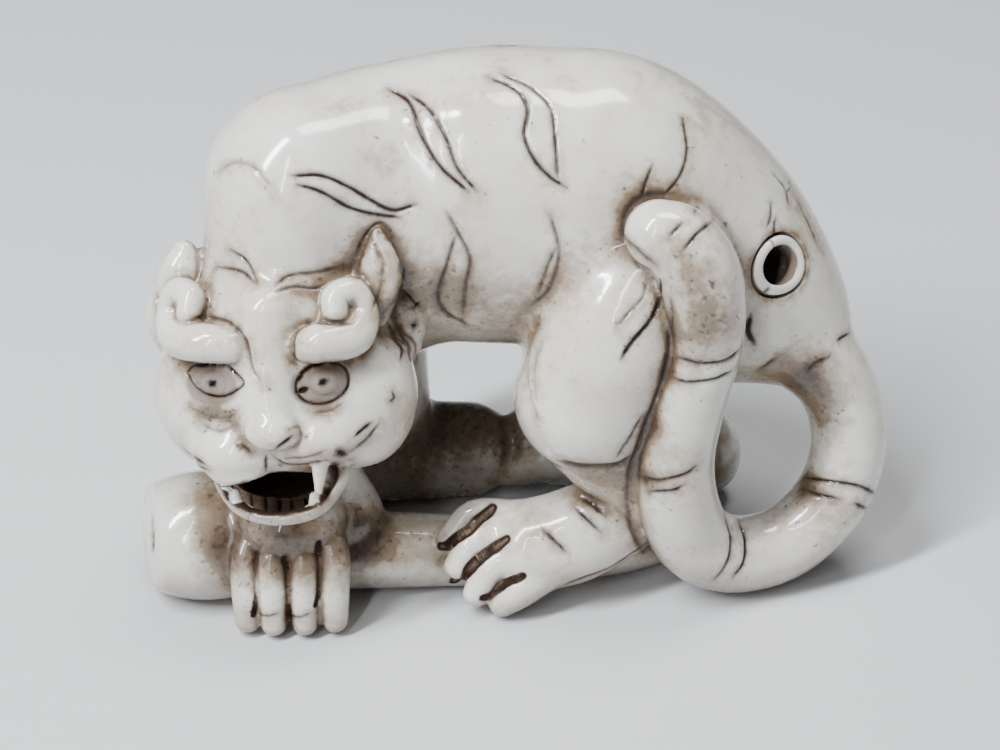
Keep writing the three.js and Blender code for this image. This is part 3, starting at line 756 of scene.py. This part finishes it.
def cylinderAlong(start, end, radius, name):
    a, b = Vector(start), Vector(end)
    shape = bmesh.new()
    place = Matrix.Translation((a + b) / 2) @ Vector((0, 0, 1)).rotation_difference(b - a).to_matrix().to_4x4()
    bmesh.ops.create_cone(
        shape, cap_ends=True, cap_tris=True, segments=72, radius1=radius, radius2=radius, depth=(b - a).length,
        matrix=place,
    )
    mesh = bpy.data.meshes.new(name)
    shape.to_mesh(mesh)
    shape.free()
    return meshObject(name, mesh)


near, meet, out = (Vector(cordHole[k]) for k in ("near", "meet", "far"))
axis = (near - meet).normalized()
farAxis = (out - meet).normalized()
bores = [
    cylinderAlong(meet - axis * 0.4, near + axis * 4, cordHole["radius"], "nearBore"),
    cylinderAlong(meet - farAxis * 0.6, out + farAxis * 5, cordHole["radius"] * 0.85, "farBore"),
    cylinderAlong(
        near - axis * (cordHole["ringDepth"] + 0.3), near + axis * 4, cordHole["ringOuter"] + cordHole["joint"],
        "seat",
    ),
]
for bore in bores:
    cut = carving.modifiers.new(bore.name, "BOOLEAN")
    cut.operation = "DIFFERENCE"
    cut.solver = "MANIFOLD"
    cut.object = bore
applyModifiers(carving)
for bore in bores:
    bpy.data.objects.remove(bore)
paint(carving)
inner = getPoints(carving.data)
bored = np.clip((-skin(inner) - 0.06) / 0.2, 0, 1)  # the walls of the bores and of the ring's seat are brown
values = np.empty(len(inner), np.float32)
for name, strength in (("stainAndShade", 1.2), ("deepDirtAndShade", 0.65)):
    layer = carving.data.attributes[name]
    layer.data.foreach_get("value", values)
    layer.data.foreach_set("value", np.maximum(values, strength * bored).astype(np.float32))
print("bored:", len(carving.data.polygons), "faces")


def makeRing():
    ring = {"turns": 144, "crack": 97, "notch": 222}  # degrees, seen along the axis from outside
    across = Vector((0, 0, 1)).cross(axis).normalized()
    upward = axis.cross(across)
    profile = [
        (0, -1.0), (0, -0.35), (0.02, -0.1), (0.1, -0.02), (0.3, 0.05), (0.5, 0.08), (0.7, 0.05), (0.9, -0.02),
        (0.98, -0.1), (1, -0.35), (1, -1.0),
    ]
    wallWidth = cordHole["ringOuter"] - cordHole["radius"]
    shape = bmesh.new()
    soiled = shape.verts.layers.float.new("soil")
    rows = []
    for i in range(ring["turns"]):
        angle = 2 * math.pi * i / ring["turns"]
        spoke = across * math.cos(angle) + upward * math.sin(angle)
        base = np.array(
            [near + spoke * (cordHole["radius"] + share * wallWidth) + axis * 0.4 for share, _ in profile]
        )
        for _ in range(4):  # down the axis to the carved surface
            base -= np.outer(skin(base), np.array(axis))
        degrees = math.degrees(angle)
        row = []
        for (share, rise), foot in zip(profile, base):
            lift = rise + 0.02
            notched = math.exp(-(((degrees - ring["notch"]) / 5) ** 2)) * (share > 0.43)
            if rise > -0.2:
                lift -= 0.14 * math.exp(-(((degrees - ring["crack"]) / 2.2) ** 2))
                lift -= 0.22 * notched
            point = shape.verts.new(Vector(foot) + axis * lift)
            cracked = math.exp(-(((degrees - ring["crack"]) / 2.4) ** 2))
            edge = 0.95 if share < 0.03 or share > 0.97 else 0.25 if share < 0.15 else 0
            point[soiled] = min(1, edge + (cracked + notched))
            row.append(point)
        rows.append(row)
    for i, row in enumerate(rows):
        after = rows[(i + 1) % len(rows)]
        for j in range(len(row)):
            k = (j + 1) % len(row)
            shape.faces.new((row[j], row[k], after[k], after[j]))
    bmesh.ops.recalc_face_normals(shape, faces=shape.faces)
    mesh = bpy.data.meshes.new("ivoryRing")
    shape.to_mesh(mesh)
    shape.free()
    return meshObject("ivoryRing", mesh)


ringPiece = makeRing()

# ---------- materials ----------


def toLinear(code):
    out = []
    for i in (1, 3, 5):
        c = int(code[i : i + 2], 16) / 255
        out.append(c / 12.92 if c <= 0.04045 else ((c + 0.055) / 1.055) ** 2.4)
    return out + [1]


def feed(tree, socket, value):  # links a socket, or sets a plain value
    if isinstance(value, bpy.types.NodeSocket):
        tree.links.new(value, socket)
    else:
        socket.default_value = value


def addNode(tree, kind, inputs=None, **settings):
    node = tree.nodes.new(kind)
    for name, value in settings.items():
        setattr(node, name, value)
    for name, value in (inputs or {}).items():
        feed(tree, node.inputs[name], value)
    return node


def newMaterial(name):
    made = bpy.data.materials.new(name)
    made.use_nodes = True
    return made, made.node_tree, made.node_tree.nodes["Principled BSDF"]


def maths(tree, operation, a, b=0.0, clamp=False):
    node = addNode(tree, "ShaderNodeMath", operation=operation, use_clamp=clamp)
    for i, value in enumerate((a, b)):
        feed(tree, node.inputs[i], value)
    return node.outputs[0]


def mix(tree, factor, a, b):
    node = addNode(tree, "ShaderNodeMix", data_type="RGBA")
    for i, value in ((0, factor), (6, a), (7, b)):
        feed(tree, node.inputs[i], value)
    return node.outputs[2]


def attribute(tree, name):
    return addNode(tree, "ShaderNodeAttribute", attribute_name=name).outputs["Fac"]


def noise(tree, at, size, detail, roughness=0.5):  # size in mm
    inputs = {"Vector": at, "Scale": 1 / (size * mm), "Detail": detail, "Roughness": roughness}
    return addNode(tree, "ShaderNodeTexNoise", inputs).outputs[0]


def above(tree, value, level, gain, clamp=True):  # what rises over a level, made stronger
    return maths(tree, "MULTIPLY", maths(tree, "SUBTRACT", value, level), gain, clamp)


def weighed(tree, *pairs):  # the sum of values, each times its share
    total = None
    for value, share in pairs:
        part = maths(tree, "MULTIPLY", value, share)
        total = part if total is None else maths(tree, "ADD", total, part)
    return total


def polishedIvory():
    # Hand-polished ivory: cool white over warm cream, soft light inside, brown held in every cut.
    ivory = {
        "white": "#e8e6e0", "cream": "#d4c8b3", "tan": "#846a4c", "brown": "#3c2a1e", "eye": "#7d7067",
        "shadeAndGrimeTone": "#6f6159", "speck": 0.45, "line": "#2a1912", "deepDirtAndShade": "#21120d", "pupil": "#160d0b",
        "mottle": 4.5, "grain": 0.7,
    }
    made, tree, shader = newMaterial("polishedIvory")
    at = addNode(tree, "ShaderNodeTexCoord").outputs["Object"]
    broad = noise(tree, at, ivory["mottle"], 4.0, 0.6)
    fine = noise(tree, at, ivory["grain"], 3.0, 0.6)
    specks = noise(tree, at, ivory["speck"], 2.0)
    cavity, line, stainAndShade, shade, deepDirtAndShade, eyeball, pupil = (
        attribute(tree, name) for name in ("cavity", "line", "stainAndShade", "shade", "deepDirtAndShade", "eyeball", "pupil")
    )
    total = weighed(tree, (stainAndShade, 0.9), (above(tree, cavity, 0.1, 1.6), 0.9))
    patchy = above(tree, weighed(tree, (broad, 0.55), (fine, 0.45)), 0.5, 2.6, False)
    brown = above(tree, maths(tree, "ADD", total, patchy), 0.15, 1.2)
    darker = above(tree, maths(tree, "ADD", total, maths(tree, "MULTIPLY", patchy, 0.7)), 0.72, 1.1)
    specked = above(tree, maths(tree, "ADD", specks, maths(tree, "MULTIPLY", total, 0.12)), 0.7, 9.0)
    # painted shade with some grime, from the shade attribute
    shadeAndGrime = maths(tree, "MULTIPLY", shade, maths(tree, "ADD", maths(tree, "MULTIPLY", broad, 0.5), 0.5))
    inked = maths(tree, "MULTIPLY", line, maths(tree, "ADD", maths(tree, "MULTIPLY", fine, 0.8), 0.75), True)
    layers = [  # each colour is laid over those before it
        (above(tree, broad, 0.34, 2.2), "cream"),
        # painted shade, with some grime
        (shadeAndGrime, "shadeAndGrimeTone"),
        (maths(tree, "MULTIPLY", brown, 0.85), "tan"),
        (maths(tree, "MULTIPLY", darker, 0.8), "brown"),
        (maths(tree, "MULTIPLY", specked, 0.7), "brown"),
        # near-black dirt with painted shade in the recesses
        (deepDirtAndShade, "deepDirtAndShade"),
        (maths(tree, "MULTIPLY", eyeball, 0.85), "eye"),
        (inked, "line"),
        (pupil, "pupil"),
    ]
    colour = toLinear(ivory["white"])
    for share, name in layers:
        colour = mix(tree, share, colour, toLinear(ivory[name]))
    tree.links.new(colour, shader.inputs["Base Color"])
    rough = weighed(tree, (brown, 0.25), (fine, 0.08), (line, 0.5), (eyeball, 0.25), (deepDirtAndShade, 0.4))
    tree.links.new(maths(tree, "ADD", rough, 0.1), shader.inputs["Roughness"])
    shader.inputs["IOR"].default_value = 1.54
    dullest = maths(tree, "MAXIMUM", eyeball, deepDirtAndShade)
    specular = maths(tree, "SUBTRACT", 0.5, maths(tree, "MULTIPLY", dullest, 0.42))
    tree.links.new(specular, shader.inputs["Specular IOR Level"])
    shader.inputs["Subsurface Weight"].default_value = 0.15
    shader.inputs["Subsurface Radius"].default_value = (1.0, 0.8, 0.6)
    shader.inputs["Subsurface Scale"].default_value = 0.6 * mm
    tree.links.new(maths(tree, "SUBTRACT", 0.5, dullest, True), shader.inputs["Coat Weight"])
    shader.inputs["Coat Roughness"].default_value = 0.04
    bump = addNode(tree, "ShaderNodeBump", {"Height": fine, "Strength": 0.06, "Distance": 0.05 * mm})
    tree.links.new(bump.outputs[0], shader.inputs["Normal"])
    return made


def freshIvory():
    # The later inlay: whiter and cleaner than the old carving, with a turned polish.
    ring = {"white": "#eeeeec", "cream": "#e2dccf", "soil": "#4a3018", "grain": 1.2}
    made, tree, shader = newMaterial("turnedWhiteIvory")
    at = addNode(tree, "ShaderNodeTexCoord").outputs["Object"]
    grain = noise(tree, at, ring["grain"], 3.0)
    clean = mix(tree, grain, toLinear(ring["white"]), toLinear(ring["cream"]))
    soiled = mix(tree, maths(tree, "MULTIPLY", attribute(tree, "soil"), 0.9), clean, toLinear(ring["soil"]))
    tree.links.new(soiled, shader.inputs["Base Color"])
    shader.inputs["Roughness"].default_value = 0.22
    shader.inputs["IOR"].default_value = 1.54
    shader.inputs["Subsurface Weight"].default_value = 0.12
    shader.inputs["Subsurface Radius"].default_value = (1.0, 0.8, 0.6)
    shader.inputs["Subsurface Scale"].default_value = 0.5 * mm
    shader.inputs["Coat Weight"].default_value = 0.3
    return made


carving.data.materials.clear()
carving.data.materials.append(polishedIvory())
ringPiece.data.materials.append(freshIvory())
for piece, node, slotName in ((carving, "tiger", "ivory"), (ringPiece, "cord_hole_ring", "ring_ivory")):
    setPoints(piece.data, (getPoints(piece.data) + plan) * mm)
    piece.data.polygons.foreach_set("use_smooth", [True] * len(piece.data.polygons))
    piece.name = "carvedTiger" if node == "tiger" else "inlaidRing"
    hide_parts(node)
    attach(piece, "root")
print("pieces finished")

# ---------- table, light and camera ----------


def paleTable():
    studio = {"half": 1.2, "colour": "#d3d4d6"}
    shape = bmesh.new()
    bmesh.ops.create_grid(shape, x_segments=1, y_segments=1, size=studio["half"])
    mesh = bpy.data.meshes.new("table")
    shape.to_mesh(mesh)
    shape.free()
    table = meshObject("table", mesh)
    made, _, shader = newMaterial("palePaper")  # matt paper, so that only a soft shadow shows
    shader.inputs["Base Color"].default_value = toLinear(studio["colour"])
    shader.inputs["Roughness"].default_value = 0.8
    mesh.materials.append(made)
    return table


def softLight(name, place, aim, size, watts, colour=(1, 1, 1)):
    lamp = bpy.data.lights.new(name, "AREA")
    lamp.shape = "RECTANGLE"
    lamp.size, lamp.size_y = size
    lamp.energy = watts
    lamp.color = colour
    made = bpy.data.objects.new(name, lamp)
    bpy.context.collection.objects.link(made)
    made.location = place
    made.rotation_euler = (Vector(aim) - Vector(place)).to_track_quat("-Z", "Y").to_euler()
    return made


middle = (0, 0, 0.016)
lights = [
    softLight("windowLeft", (-0.17, -0.13, 0.3), middle, (0.03, 0.26), 2.4, (0.95, 0.98, 1)),
    softLight("windowFrame", (-0.12, -0.3, 0.26), middle, (0.012, 0.3), 0.5, (0.95, 0.98, 1)),
    softLight("windowTop", (0.05, 0.03, 0.36), middle, (0.08, 0.16), 0.75),
]
paleTable()
room = {"colour": (0.92, 0.95, 1, 1), "strength": 0.06}
world = bpy.data.worlds.new("paleRoom")
world.use_nodes = True
world.node_tree.nodes["Background"].inputs[0].default_value = room["colour"]
world.node_tree.nodes["Background"].inputs[1].default_value = room["strength"]
bpy.context.scene.world = world

view = {"sensor": 36, "focal": 88.3, "nearest": 0.01}  # mm, mm and m
lens = bpy.data.cameras.new("carverView")
lens.sensor_width = view["sensor"]
lens.lens = view["focal"]
lens.clip_start = view["nearest"]
camera = bpy.data.objects.new("camera", lens)
bpy.context.collection.objects.link(camera)
camera.location = Vector((float(eye[0]) + plan[0], float(eye[1]) + plan[1], float(eye[2]))) * mm
camera.rotation_euler = Vector(tuple(float(v) for v in lookAlong)).to_track_quat("-Z", "Y").to_euler()
bpy.context.scene.camera = camera
